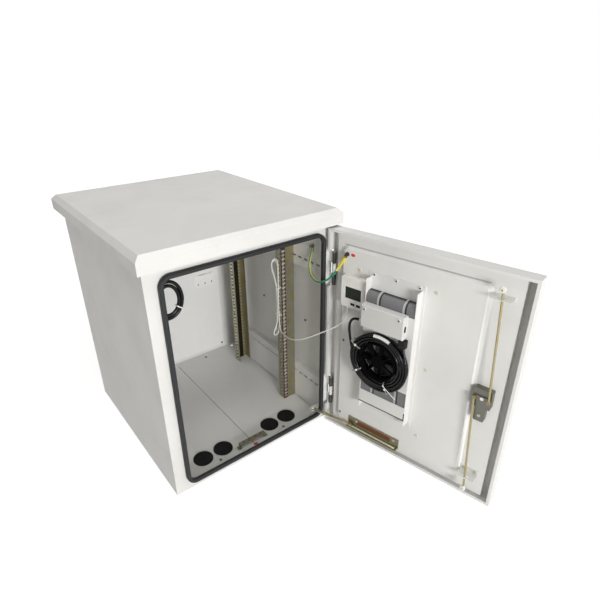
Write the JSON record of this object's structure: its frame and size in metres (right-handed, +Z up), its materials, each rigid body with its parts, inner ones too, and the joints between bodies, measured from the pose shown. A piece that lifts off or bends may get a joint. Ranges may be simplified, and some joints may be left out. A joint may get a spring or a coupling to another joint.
{
  "type": "outdoor telecom equipment cabinet",
  "caption": "Sheet-metal outdoor equipment cabinet with rack rails, rain roof and an open hinged door that carries a heat exchanger, controller and rod lock.",
  "frame": {"origin": "centre of the base fixing holes, on the underside of the base", "axes": "+X to the right seen from the door opening, +Y to the back, +Z up"},
  "size_m": [0.7623, 1.3061, 0.78],
  "materials": {
    "powder_coat": "fine satin powder coat",
    "zinc_sheet": "yellow passivated zinc",
    "zinc_fittings": "yellow passivated zinc",
    "dark_metal": "black",
    "pale_metal": "satin powder coat",
    "handle_metal": "black satin",
    "black_rubber": "matte foam rubber",
    "nylon": "natural nylon",
    "white_plastic": "fine grain",
    "screen": "dark window",
    "button_plastic": "dark",
    "core_aluminium": "mill",
    "black_plastic": "black",
    "black_cable": "black sheath",
    "white_cable": "white sheath",
    "earth_cable": "green and yellow sheath"
  },
  "bodies": {
    "cabinet": {"back_bracket": "powder_coat", "back_liner": "powder_coat", "back_wall": "powder_coat", "base_frame": "powder_coat", "cabinet_fixings": "zinc_fittings", "cable_grommets": "black_rubber", "door_seal": "black_rubber", "earth_bar": "zinc_fittings", "earth_wire": "earth_cable", "frame_hinge_leaves": "dark_metal", "front_frame": "powder_coat", "hinge_pins": "zinc_fittings", "left_floor_plate": "powder_coat", "left_front_rail": "zinc_sheet", "left_lower_bearer": "powder_coat", "left_rear_rail": "zinc_sheet", "left_upper_bearer": "powder_coat", "left_wall": "powder_coat", "right_floor_plate": "powder_coat", "right_front_rail": "zinc_sheet", "right_lower_bearer": "powder_coat", "right_rear_rail": "zinc_sheet", "right_upper_bearer": "powder_coat", "right_wall": "powder_coat", "roof_cover": "powder_coat", "sensor_hank": "white_cable", "sensor_lead": "white_cable", "spare_loop": "black_cable", "stay_bracket": "zinc_fittings", "top_panel": "powder_coat"},
    "door": {"door_shell": "powder_coat", "door_panel": "powder_coat", "door_hinge_leaves": "pale_metal", "door_fixings": "zinc_fittings", "stay_track": "zinc_fittings", "lock_case": "zinc_fittings", "upper_rod_guide": "pale_metal", "lower_rod_guide": "pale_metal", "handle_plate": "powder_coat", "controller_housing": "white_plastic", "controller_screen": "screen", "exchanger_frame": "powder_coat", "exchanger_core": "core_aluminium", "core_straps": "zinc_fittings", "control_box": "powder_coat", "fan_housing": "black_plastic", "power_coil": "black_cable", "power_lead": "black_cable", "lead_connector": "black_plastic"},
    "stay_arm": {"stay_arm": "zinc_fittings"},
    "stay_bolt": {"stay_bolt": "zinc_fittings"},
    "lock_cam": {"lock_cam": "zinc_fittings", "lock_handle": "handle_metal"},
    "upper_rod": {"upper_lock_rod": "zinc_fittings"},
    "lower_rod": {"lower_lock_rod": "zinc_fittings"},
    "upper_roller": {"upper_rod_roller": "nylon"},
    "lower_roller": {"lower_rod_roller": "nylon"},
    "fan": {"fan_rotor": "black_plastic"},
    "left_button": {"left_button": "button_plastic"},
    "right_button": {"right_button": "button_plastic"}
  },
  "joints": [
    {"name": "door_swing", "type": "hinge", "parent": "cabinet", "child": "door", "pos_m": [0.29, -0.35, 0.36], "axis": [0, 0, 1], "range_deg": [-101.5, 0], "deforming": ["earth_wire", "sensor_lead"]},
    {"name": "stay_arm_turn", "type": "hinge", "parent": "cabinet", "child": "stay_arm", "pos_m": [0.236, -0.315, 0.05], "axis": [0, 0, 1], "range_deg": [-106, 0]},
    {"name": "stay_bolt_slide", "type": "slide", "parent": "door", "child": "stay_bolt", "axis": [0.1994, -0.9799, 0], "range_m": [0, 0.1005]},
    {"name": "lock_turn", "type": "hinge", "parent": "door", "child": "lock_cam", "pos_m": [0.36348, -0.86162, 0.365], "axis": [-0.9799, -0.1994, 0], "range_deg": [0, 90]},
    {"name": "upper_rod_pivot", "type": "hinge", "parent": "lock_cam", "child": "upper_rod", "pos_m": [0.36256, -0.88222, 0.365], "axis": [-0.9799, -0.1994, 0], "range_deg": [-94, 0]},
    {"name": "lower_rod_pivot", "type": "hinge", "parent": "lock_cam", "child": "lower_rod", "pos_m": [0.35459, -0.84302, 0.365], "axis": [-0.9799, -0.1994, 0], "range_deg": [-94, 0]},
    {"name": "upper_roller_spin", "type": "hinge", "parent": "upper_rod", "child": "upper_roller", "pos_m": [0.3527, -0.86381, 0.69], "axis": [-0.9799, -0.1994, 0], "continuous": true},
    {"name": "lower_roller_spin", "type": "hinge", "parent": "lower_rod", "child": "lower_roller", "pos_m": [0.3527, -0.86381, 0.046], "axis": [-0.9799, -0.1994, 0], "continuous": true},
    {"name": "fan_spin", "type": "hinge", "parent": "door", "child": "fan", "pos_m": [0.27289, -0.57186, 0.3712], "axis": [-0.9799, -0.1994, 0], "continuous": true},
    {"name": "left_button_press", "type": "slide", "parent": "door", "child": "left_button", "axis": [0.9799, 0.1994, 0], "range_m": [0, 0.001], "stiffness_N_per_m": 200},
    {"name": "right_button_press", "type": "slide", "parent": "door", "child": "right_button", "axis": [0.9799, 0.1994, 0], "range_m": [0, 0.001], "stiffness_N_per_m": 200}
  ],
  "couplings": [
    {"joint": "stay_arm_turn", "follows": "door_swing", "ratio": 1.0407},
    {"joint": "stay_bolt_slide", "follows": "door_swing", "m_per_rad": -0.056428},
    {"joint": "upper_rod_pivot", "follows": "lock_turn", "ratio": -1.0391},
    {"joint": "lower_rod_pivot", "follows": "lock_turn", "ratio": -1.0399}
  ]
}
